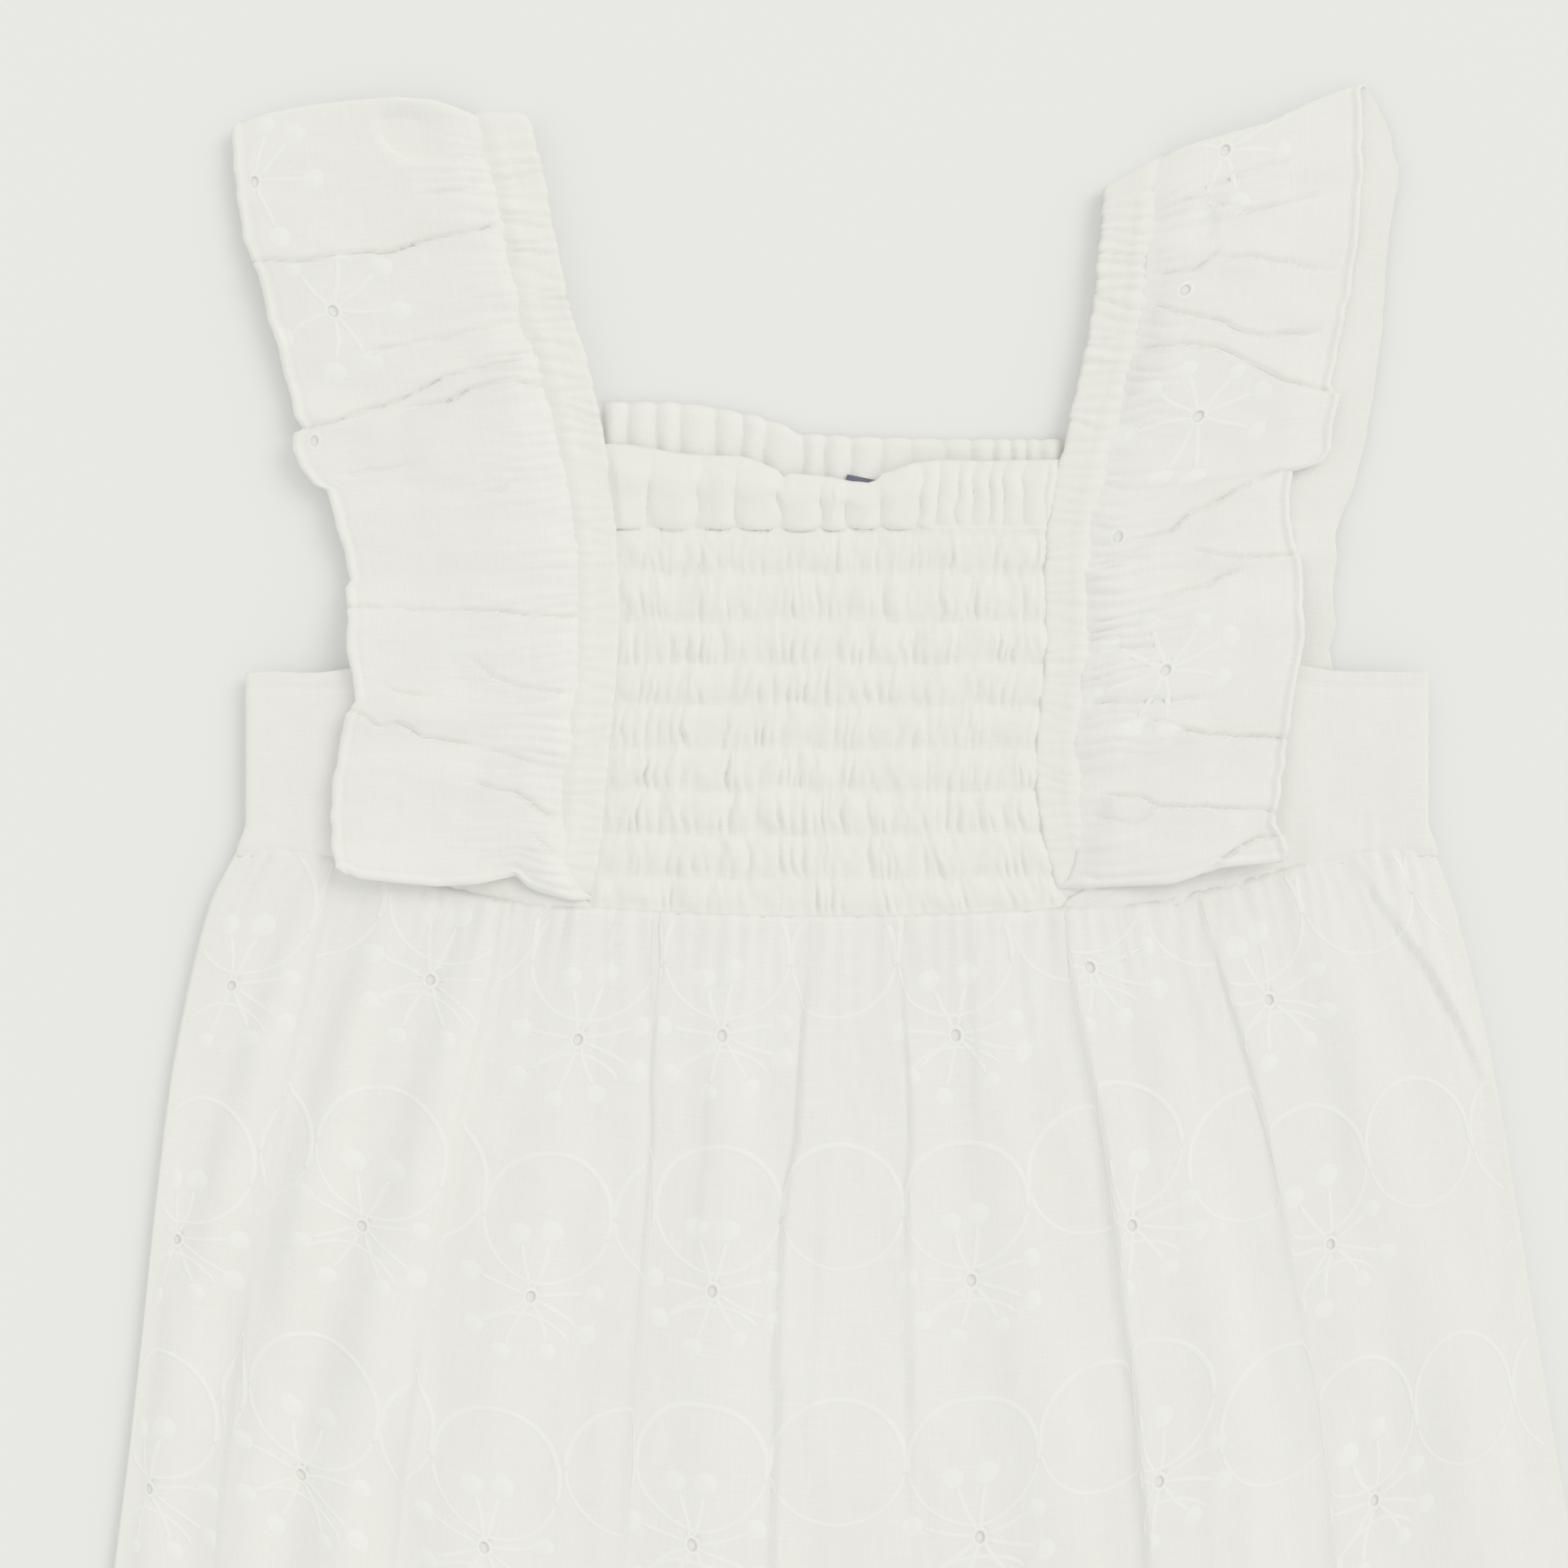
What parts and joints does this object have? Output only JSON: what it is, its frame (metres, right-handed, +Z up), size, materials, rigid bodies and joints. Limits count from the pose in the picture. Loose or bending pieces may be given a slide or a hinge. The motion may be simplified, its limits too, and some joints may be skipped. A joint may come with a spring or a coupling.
{
  "type": "broderie anglaise baby romper laid flat",
  "caption": "Sleeveless baby romper laid flat, with a smocked bodice, ruffled shoulder straps, a gathered body and elastic leg openings.",
  "frame": {"origin": "middle of the garment's box, on the surface that it lies on", "axes": "+X across to the right side of the laid-out front, +Y up the garment towards the shoulders, +Z up from the surface"},
  "size_m": [0.3084, 0.4354, 0.0113],
  "materials": {
    "cotton": "matt",
    "elastic_cotton": "matt",
    "label_tape": "satin"
  },
  "bodies": {
    "root": {"front_bodice": "elastic_cotton", "back_bodice": "elastic_cotton", "strap_left": "elastic_cotton", "ruffle_left": "cotton", "side_panel_left": "cotton", "leg_band_left": "elastic_cotton", "strap_right": "elastic_cotton", "ruffle_right": "cotton", "side_panel_right": "cotton", "leg_band_right": "elastic_cotton", "neck_label": "label_tape", "front_body": "cotton", "back_body": "cotton"}
  },
  "joints": []
}
